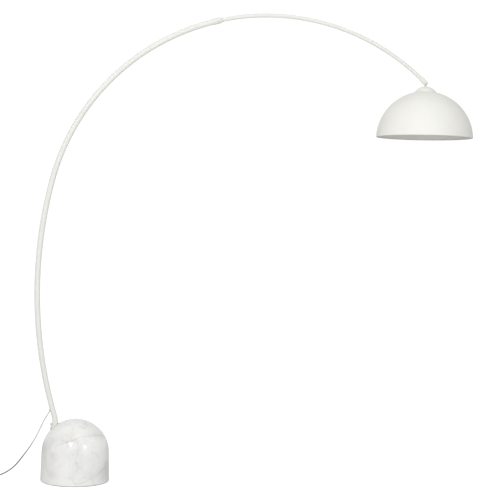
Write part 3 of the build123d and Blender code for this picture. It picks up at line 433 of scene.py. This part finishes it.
# Two veins that run round the foot, as turn and height, and one that climbs, as height and turn.
MAIN_VEIN = (
    (-3.1, 0.118), (-1.8, 0.128), (-0.9, 0.146), (-0.41, 0.166), (-0.02, 0.183),
    (0.38, 0.196), (0.78, 0.199), (1.41, 0.186), (2.2, 0.158), (3.1, 0.118),
)
LOWER_VEIN = (
    (-3.1, 0.060), (-1.6, 0.085), (-0.6, 0.050), (0.07, 0.030), (0.17, 0.014),
    (0.40, 0.022), (0.62, 0.034), (0.83, 0.047), (1.6, 0.080), (3.1, 0.060),
)
UPRIGHT_VEIN = (
    (0.0, 0.75), (0.061, 0.49), (0.072, 0.31), (0.097, 0.15), (0.142, 0.21), (0.165, 0.18),
    (0.178, 0.16), (0.190, -0.03), (0.209, 0.05), (0.224, -0.01), (0.25, 0.2),
)

# Patches of colour: the place, how far it reaches, and its strength.
STAINS = (
    ((-0.077, -0.116, 0.043), 0.030, 0.55),
    ((-0.078, -0.113, 0.119), 0.034, 0.55),
    ((0.001, -0.102, 0.208), 0.034, 0.45),
    ((0.060, 0.110, 0.090), 0.050, 0.45),
    ((-0.060, 0.120, 0.170), 0.035, 0.40),
)
GREY_CLOUDS = (
    ((-0.112, -0.078, 0.150), 0.062, 0.55),
    ((0.137, -0.038, 0.072), 0.060, 0.60),
    ((0.023, -0.136, 0.097), 0.008, 0.55),
    ((0.030, 0.125, 0.150), 0.060, 0.50),
)

# How far the veins wander, in metres, and the turn that goes with a metre of it. A long vein has a
# soft halo, some widths of its core wide, and fades to a share of its depth.
SLOW_WANDER = 0.022
QUICK_WANDER = 0.007
TURN_WANDER = 9.0
HALO_WIDTHS = 4.0
HALO_SHARE = 0.5
FADED_SHARE = 0.15


def marble():
    """Polished white marble: grey clouds, beige stains and thin wandering veins."""
    made = Surface("white_marble", Coat_Weight=0.4, Coat_Roughness=0.05)
    slow = made.math("SUBTRACT", made.noise(scale=16.0, detail=4.0, roughness=0.6), 0.5)
    quick = made.math("SUBTRACT", made.noise(scale=75.0, detail=3.0, roughness=0.6), 0.5)
    axes = made.split()
    round_foot = made.math("ARCTAN2", axes["X"], made.math("MULTIPLY", axes["Y"], -1.0))
    wander = made.math("MULTIPLY_ADD", slow, SLOW_WANDER, made.math("MULTIPLY", quick, QUICK_WANDER))
    height = made.math("ADD", axes["Z"], wander)
    turn = made.math("ADD", round_foot, made.math("MULTIPLY", wander, TURN_WANDER))

    clouds = made.noise(scale=11.0, detail=5.0, roughness=0.62, distortion=0.5)
    body = made.blend(made.spread(clouds, 0.38, 0.74), MARBLE_LIGHT, MARBLE_CLOUD)
    for patches, colour in ((GREY_CLOUDS, MARBLE_GREY), (STAINS, MARBLE_BEIGE)):
        for place, reach, strength in patches:
            body = made.blend(made.near(place, reach, strength, clouds), body, colour)

    # Thin veins of noise all round: threads that fade here and there, and hairs in the clouds.
    fade = made.noise(scale=23.0, detail=2.0)
    threads = made.noise(scale=6.5, detail=5.0, roughness=0.55, distortion=1.1)
    hairs = made.noise(scale=15.0, detail=4.0, roughness=0.6, distortion=1.6)
    for ridge, width, depth, shown in (
        (threads, 0.014, 0.26, made.spread(fade, 0.45, 0.62)),
        (hairs, 0.011, 0.16, made.spread(clouds, 0.46, 0.6)),
    ):
        gap = made.math("ABSOLUTE", made.math("SUBTRACT", ridge, 0.5))
        line = made.math("MULTIPLY", made.spread(gap, 0.0, width, depth, 0.0), shown)
        body = made.blend(line, body, MARBLE_VEIN)

    # Three longer veins that follow their own lines. Each row has the vein's line and what that is
    # compared with, the metres in a unit of both, the vein's width and depth, and the turns round
    # the foot at which it is full and at which it has faded.
    main = made.curve(turn, MAIN_VEIN, ALL_ROUND, ALL_HEIGHTS)
    lower = made.curve(turn, LOWER_VEIN, ALL_ROUND, ALL_HEIGHTS)
    upright = made.curve(height, UPRIGHT_VEIN, ALL_HEIGHTS, UPRIGHT_TURNS)
    for line, compared, metres, width, depth, full, faded in (
        (main, height, 1.0, 0.0048, 0.30, -0.1, -0.6),
        (lower, height, 1.0, 0.0042, 0.30, 0.15, -0.05),
        (upright, turn, TURN_METRES, 0.0040, 0.18, -1.0, -1.1),
    ):
        gap = made.math("ABSOLUTE", made.math("SUBTRACT", line, compared))
        gap = made.math("MULTIPLY", gap, metres)
        halo = made.spread(gap, 0.0, HALO_WIDTHS * width, HALO_SHARE * depth, 0.0)
        core = made.spread(gap, 0.0, width, depth, 0.0)
        broken = made.spread(fade, 0.36, 0.60, 0.35, 1.0)
        uneven = made.math("MULTIPLY", broken, made.spread(round_foot, full, faded, 1.0, FADED_SHARE))
        body = made.blend(made.math("MULTIPLY", halo, uneven), body, MARBLE_GREY)
        body = made.blend(made.math("MULTIPLY", core, uneven), body, MARBLE_VEIN)
    made.colour(body)
    made.roughness(clouds, 0.3, 0.7, roughness=(0.08, 0.15))
    made.bump(made.noise(scale=900.0, detail=2.0), strength=0.03, distance=0.05 * MM)
    return made.material


materials = {
    "marble": marble(),
    "felt": moulded(
        "grey_felt",
        light=rgb(0.06, 0.06, 0.065),
        shaded=rgb(0.04, 0.04, 0.045),
        roughness=(0.9, 1.0),
        grain_scale=900.0,
        grain_strength=0.8,
    ),
    "white_paint": powder_coat(
        "white_powder_coat",
        light=rgb(0.785, 0.78, 0.745),
        shaded=rgb(0.77, 0.765, 0.73),
        roughness=0.45,
    ),
    "shade_paint": spun_coat(
        "shade_powder_coat",
        light=rgb(0.83, 0.825, 0.785),
        shaded=rgb(0.81, 0.805, 0.765),
        roughness=0.58,
    ),
    "bare_steel": metal(
        "zinc_plate",
        light=rgb(0.62, 0.62, 0.62),
        shaded=rgb(0.54, 0.55, 0.56),
        roughness=(0.24, 0.38),
        streak_scale=900.0,
    ),
    "dim_steel": metal(
        "burnished_steel",
        light=rgb(0.50, 0.49, 0.47),
        shaded=rgb(0.42, 0.41, 0.39),
        roughness=(0.35, 0.5),
        streak_scale=900.0,
    ),
    "dark_rubber": moulded(
        "dark_rubber",
        light=rgb(0.03, 0.03, 0.03),
        shaded=rgb(0.02, 0.02, 0.02),
        roughness=(0.6, 0.75),
        grain_scale=1500.0,
        grain_strength=0.25,
    ),
    "bush_plastic": moulded(
        "white_nylon",
        light=rgb(0.72, 0.71, 0.68),
        shaded=rgb(0.70, 0.69, 0.66),
        roughness=(0.4, 0.5),
        grain_scale=1500.0,
        grain_strength=0.15,
    ),
    "cord_sheath": sheath(),
    "holder_plastic": moulded(
        "white_thermoset",
        light=rgb(0.74, 0.74, 0.72),
        shaded=rgb(0.71, 0.71, 0.69),
        roughness=(0.3, 0.4),
        grain_scale=1200.0,
        grain_strength=0.12,
    ),
    "porcelain": moulded(
        "lamp_ceramic",
        light=rgb(0.76, 0.75, 0.72),
        shaded=rgb(0.72, 0.71, 0.68),
        roughness=(0.45, 0.6),
        grain_scale=1800.0,
        grain_strength=0.2,
    ),
    "brass": metal(
        "bright_brass",
        light=rgb(0.80, 0.58, 0.24),
        shaded=rgb(0.72, 0.50, 0.20),
        roughness=(0.18, 0.3),
        streak_scale=800.0,
    ),
    "bulb_metal": metal(
        "bulb_cap_metal",
        light=rgb(0.72, 0.72, 0.73),
        shaded=rgb(0.66, 0.66, 0.67),
        roughness=(0.2, 0.32),
        streak_scale=900.0,
    ),
    "opal_glass": moulded(
        "opal_glass",
        light=rgb(0.86, 0.86, 0.84),
        shaded=rgb(0.84, 0.84, 0.82),
        roughness=(0.12, 0.2),
        grain_scale=900.0,
        grain_strength=0.05,
    ),
    "switch_plastic": moulded(
        "switch_plastic",
        light=rgb(0.70, 0.70, 0.69),
        shaded=rgb(0.68, 0.68, 0.67),
        roughness=(0.3, 0.42),
        grain_scale=1400.0,
        grain_strength=0.2,
    ),
}

for row in frame["record"]["subparts"]:
    node = cad[row["node"]]
    node.data.materials.clear()
    node.data.materials.append(materials[row["material_slot"]])
for cord in (lead_cord, plug_cord):
    cord.data.materials.append(materials["cord_sheath"])

# ---- Detailed pieces ------------------------------------------------------------------------

RING_SIDES = 64
SHARP_EDGE = 32.0
NEARLY_ZERO = 1e-6
EAST = Vector((1, 0, 0))
NORTH = Vector((0, 1, 0))
UP = Vector((0, 0, 1))


def ring(centre, across, up, radius):
    """A ring of points; the radius is a number, or a function of the angle round the ring."""
    points = []
    for index in range(RING_SIDES):
        angle = 2.0 * math.pi * index / RING_SIDES
        reach = radius(angle) if callable(radius) else radius
        points.append(centre + (across * math.cos(angle) + up * math.sin(angle)) * reach)
    return points


def rounded_box(width, height, corner):
    """Radius toward each angle of a rectangle with rounded corners."""
    half_width = width / 2
    half_height = height / 2
    corner_x = half_width - corner
    corner_y = half_height - corner

    def reach(angle):
        east = abs(math.cos(angle))
        north = abs(math.sin(angle))
        straight = min(half_width / max(east, NEARLY_ZERO), half_height / max(north, NEARLY_ZERO))
        if straight * east <= corner_x or straight * north <= corner_y:
            return straight
        along = corner_x * east + corner_y * north
        off = corner_x**2 + corner_y**2 - corner**2
        return along + math.sqrt(max(along**2 - off, 0.0))

    return reach


def skin(shape, rings):
    """Closes a row of rings into one watertight skin."""
    rows = [[shape.verts.new(point * MM) for point in points] for points in rings]
    for below, above in zip(rows, rows[1:]):
        for index in range(RING_SIDES):
            after = (index + 1) % RING_SIDES
            shape.faces.new((below[index], below[after], above[after], above[index]))
    shape.faces.new(list(reversed(rows[0])))
    shape.faces.new(rows[-1])


def turned(shape, origin, axis, across, profile):
    """A turned skin: the profile gives distances along the axis and the radius there."""
    up = axis.cross(across)
    skin(shape, [ring(origin + axis * along, across, up, radius) for along, radius in profile])


def add_piece(name, shape, slot, body, replaced):
    """Makes an object of the shape, with smooth faces and sharp edges, in place of a CAD node."""
    bmesh.ops.recalc_face_normals(shape, faces=shape.faces)
    for face in shape.faces:
        face.smooth = True
    mesh = bpy.data.meshes.new(name)
    shape.to_mesh(mesh)
    shape.free()
    mesh.set_sharp_from_angle(angle=math.radians(SHARP_EDGE))
    mesh.materials.append(materials[slot])
    piece = bpy.data.objects.new(name, mesh)
    bpy.context.collection.objects.link(piece)
    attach(piece, body)
    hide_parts(replaced)
    return piece


# The ribbed sleeves on the cord where it leaves the foot switch and the plug.
SLEEVE_ROOT = 4.5
SLEEVE_TIP = 3.4
SLEEVE_RIBS = 6
SLEEVE_RIB_DEPTH = 0.55
STEPS_PER_RIB = 8


def ribbed(length):
    """Profile of a tapered sleeve with rounded ribs."""
    steps = SLEEVE_RIBS * STEPS_PER_RIB
    profile = []
    for index in range(steps + 1):
        share = index / steps
        wave = 0.5 - 0.5 * math.cos(2.0 * math.pi * share * SLEEVE_RIBS)
        profile.append((length * share, between(SLEEVE_ROOT, SLEEVE_TIP, share) - SLEEVE_RIB_DEPTH * wave))
    return profile


# The two boots where the cord enters and leaves the foot switch, each with a spigot into its case.
SWITCH_X = -424.0
SWITCH_MIDDLE = Vector((SWITCH_X, LANE, SWITCH_AXIS))
SWITCH_HALF = 34.0
BOOT_GAP = 0.1
BOOT_SLEEVE = 19.9
BOOT_SPIGOT = [(-3.5, 2.9), (-0.05, 2.9)]
boots = bmesh.new()
for side in (1, -1):
    boot_start = SWITCH_MIDDLE + EAST * side * (SWITCH_HALF + BOOT_GAP)
    turned(boots, boot_start, EAST * side, NORTH, BOOT_SPIGOT + ribbed(BOOT_SLEEVE))
boots_piece = add_piece("ribbed_boots", boots, "dark_rubber", "stand", "switch_boots")

# The foot switch's button, as heights and radii: the flange under the cover and the rounded rim,
# then a shallow dish with three raised rings. A ring's row has its outer foot and its inner foot.
BUTTON_SIDE = [
    (17.2, 14.0),
    (18.7, 14.0),
    (18.7, 12.0),
    (23.2, 12.0),
    (23.75, 11.85),
    (24.4, 11.45),
    (24.85, 10.75),
    (25.0, 10.1),
    (24.75, 9.5),
]
BUTTON_RINGS = (
    ((24.45, 9.1), (24.35, 7.5)),
    ((24.3, 6.9), (24.2, 5.3)),
    ((24.15, 4.7), (24.1, 3.0)),
)
RING_RISE = 0.3
RING_CREST = (0.6, 1.0)
BUTTON_MIDDLE = (24.05, 0.5)
button_profile = list(BUTTON_SIDE)
for outer_foot, inner_foot in BUTTON_RINGS:
    crest = [(outer_foot[0] + RING_RISE, outer_foot[1] - inward) for inward in RING_CREST]
    button_profile += [outer_foot, *crest, inner_foot]
button = bmesh.new()
turned(button, Vector((SWITCH_X, LANE, 0.0)), UP, EAST, button_profile + [BUTTON_MIDDLE])
button_piece = add_piece("ringed_button", button, "switch_plastic", "switch_key", "foot_switch_button")

# The plug: a ribbed sleeve, then a body that widens to its grips and has a softly rounded face.
# A section is its distance from the body's start, its width, its height and its corner radius.
PLUG_START = Vector((-458.0, TAIL_Y, PLUG_AXIS))
PLUG_SLEEVE = 20.0
PLUG_WIDTH = 28.0
PLUG_HEIGHT = 13.4
PLUG_CORNER = 6.0
FIRST_GROOVE = 19.0
GROOVE_PITCH = 3.0
GROOVES = 4
GROOVE_WIDTH = 27.0
GROOVE_HEIGHT = 13.0
GROOVE_SPAN = 1.5
GROOVE_SLOPE = 0.4

plug = bmesh.new()
turned(plug, PLUG_START, -EAST, NORTH, ribbed(PLUG_SLEEVE))
plug_sections = [
    (0.0, 12.0, 10.0, 4.9),
    (0.5, 12.9, 10.9, 5.0),
    (3.0, 14.4, 11.3, 5.2),
    (7.0, 18.2, 11.8, 5.5),
    (11.5, 22.7, 12.5, 5.8),
    (15.0, 26.0, 13.0, 6.0),
    (17.0, 27.5, 13.3, 6.0),
    (18.0, PLUG_WIDTH, PLUG_HEIGHT, PLUG_CORNER),
]
for index in range(GROOVES):
    groove = FIRST_GROOVE + GROOVE_PITCH * index
    plug_sections += [
        (groove, PLUG_WIDTH, PLUG_HEIGHT, PLUG_CORNER),
        (groove + GROOVE_SLOPE, GROOVE_WIDTH, GROOVE_HEIGHT, PLUG_CORNER),
        (groove + GROOVE_SPAN - GROOVE_SLOPE, GROOVE_WIDTH, GROOVE_HEIGHT, PLUG_CORNER),
        (groove + GROOVE_SPAN, PLUG_WIDTH, PLUG_HEIGHT, PLUG_CORNER),
    ]
plug_sections += [
    (32.8, PLUG_WIDTH, PLUG_HEIGHT, PLUG_CORNER),
    (33.6, 27.7, 13.1, 6.0),
    (34.0, 27.0, 12.4, 5.8),
]
skin(plug, [
    ring(PLUG_START + EAST * along, NORTH, UP, rounded_box(width, height, corner))
    for along, width, height, corner in plug_sections
])
plug_piece = add_piece("gripped_plug", plug, "switch_plastic", "stand", "plug_body")

# The bulb's cap with its rolled thread, its shoulder and its contact eye.
SHADE_X = 1389.75
BULB_CAP_BOTTOM = 1545.75
THREAD_PITCH = 3.6
THREAD_DEPTH = 0.8
THREAD_STEPS = 56
THREAD_LENGTH = 20.0
THREAD_RADIUS = 13.2
BULB_SHOULDER = [(21.0, 11.4), (24.4, 5.85), (24.8, 5.1)]
BULB_CONTACT = [(25.0, 4.0), (26.1, 3.9), (26.4, 3.3), (26.5, 2.0)]


def thread_radius(height):
    """Radius of the rolled thread at a height, as a function of the angle."""
    fading = min(height / THREAD_PITCH, (THREAD_LENGTH - height) / THREAD_PITCH, 1.0)

    def reach(angle):
        phase = 2.0 * math.pi * height / THREAD_PITCH - angle
        return THREAD_RADIUS - THREAD_DEPTH * fading * (0.5 - 0.5 * math.cos(phase))

    return reach


bulb_cap = bmesh.new()
bulb_cap_profile = []
for index in range(THREAD_STEPS + 1):
    height = THREAD_LENGTH * index / THREAD_STEPS
    bulb_cap_profile.append((height, thread_radius(height)))
bulb_cap_profile += BULB_SHOULDER + BULB_CONTACT
turned(bulb_cap, Vector((SHADE_X, 0.0, BULB_CAP_BOTTOM)), UP, EAST, bulb_cap_profile)
add_piece("threaded_bulb_cap", bulb_cap, "bulb_metal", "shade_head", "bulb_cap")

# ---- Floor and light ------------------------------------------------------------------------

# The camera sees the floor lifted to the backdrop's brightness; the lamp gets only its plain bounce.
HALF_FLOOR = 30.0
FLOOR_LIGHT = rgb(0.78, 0.78, 0.78)
FLOOR_SHADED = rgb(0.77, 0.77, 0.77)
FLOOR_LIFT = 0.62
WHITE_LIGHT = rgb(1.0, 1.0, 1.0)

floor_mesh = bpy.data.meshes.new("floor")
floor_mesh.from_pydata(
    [
        (-HALF_FLOOR, -HALF_FLOOR, 0),
        (HALF_FLOOR, -HALF_FLOOR, 0),
        (HALF_FLOOR, HALF_FLOOR, 0),
        (-HALF_FLOOR, HALF_FLOOR, 0),
    ],
    [],
    [(0, 1, 2, 3)],
)
floor = bpy.data.objects.new("floor", floor_mesh)
bpy.context.collection.objects.link(floor)
floor_surface = Surface("studio_floor", Roughness=0.9, Emission_Color=WHITE_LIGHT)
floor_grain = floor_surface.noise(scale=3.0, detail=2.0)
floor_surface.colour(floor_surface.blend(floor_grain, FLOOR_LIGHT, FLOOR_SHADED))
floor_seen = floor_surface.node("LightPath").outputs["Is Camera Ray"]
floor_surface.give(
    floor_surface.shader.inputs["Emission Strength"],
    floor_surface.math("MULTIPLY", floor_seen, FLOOR_LIFT),
)
floor_mesh.materials.append(floor_surface.material)


def softbox(name, place, target, size, power):
    """A square area light that points at the target."""
    data = bpy.data.lights.new(name, "AREA")
    data.shape = "SQUARE"
    data.size = size
    data.energy = power
    light = bpy.data.objects.new(name, data)
    light.location = place
    aim = Vector(target) - Vector(place)
    light.rotation_euler = aim.to_track_quat("-Z", "Y").to_euler()
    bpy.context.collection.objects.link(light)
    return light


FOOT_MIDDLE = (0.0, 0.0, 0.13)
LAMP_MIDDLE = (0.7, 0.0, 1.0)
SHADE_MIDDLE = (1.39, 0.0, 1.5)
softbox("left_softbox", place=(-0.75, -3.40, 2.45), target=FOOT_MIDDLE, size=0.8, power=14.0)
softbox("right_softbox", place=(2.571, -2.736, 1.839), target=FOOT_MIDDLE, size=0.6, power=9.0)
front_wall = softbox("front_wall", place=(0.1, -7.5, 2.0), target=LAMP_MIDDLE, size=5.0, power=162.0)
overhead = softbox("overhead", place=(0.4, -1.0, 6.0), target=LAMP_MIDDLE, size=4.0, power=36.0)
shade_fill = softbox("shade_fill", place=(-0.1, -2.2, 1.9), target=SHADE_MIDDLE, size=0.9, power=8.0)
for wide in (front_wall, overhead, shade_fill):
    wide.visible_glossy = False
shade_fill.visible_camera = False

# The world is brighter to the camera than it is as a light. Mirrored in the lamp it lies between
# the two, at that share of the way to what the camera sees, which keeps the lamp's edges light.
LIT_STRENGTH = 0.55
SEEN_STRENGTH = 1.05
MIRRORED_SHARE = 0.7
world = bpy.data.worlds.new("studio")
bpy.context.scene.world = world
world.use_nodes = True
world_nodes = world.node_tree.nodes
background = world_nodes["Background"]
backdrop = world_nodes.new("ShaderNodeBackground")
for lit, strength in ((background, LIT_STRENGTH), (backdrop, SEEN_STRENGTH)):
    lit.inputs["Color"].default_value = WHITE_LIGHT
    lit.inputs["Strength"].default_value = strength
ray = world_nodes.new("ShaderNodeLightPath")
mirrored = world_nodes.new("ShaderNodeMath")
mirrored.operation = "MULTIPLY"
mirrored.inputs[1].default_value = MIRRORED_SHARE
shown = world_nodes.new("ShaderNodeMath")
shown.operation = "MAXIMUM"
chooser = world_nodes.new("ShaderNodeMixShader")
for source, target in (
    (ray.outputs["Is Glossy Ray"], mirrored.inputs[0]),
    (ray.outputs["Is Camera Ray"], shown.inputs[0]),
    (mirrored.outputs[0], shown.inputs[1]),
    (shown.outputs[0], chooser.inputs[0]),
    (background.outputs[0], chooser.inputs[1]),
    (backdrop.outputs[0], chooser.inputs[2]),
    (chooser.outputs[0], world_nodes["World Output"].inputs["Surface"]),
):
    world.node_tree.links.new(source, target)

bpy.context.scene.view_settings.view_transform = "Standard"
bpy.context.scene.view_settings.look = "None"
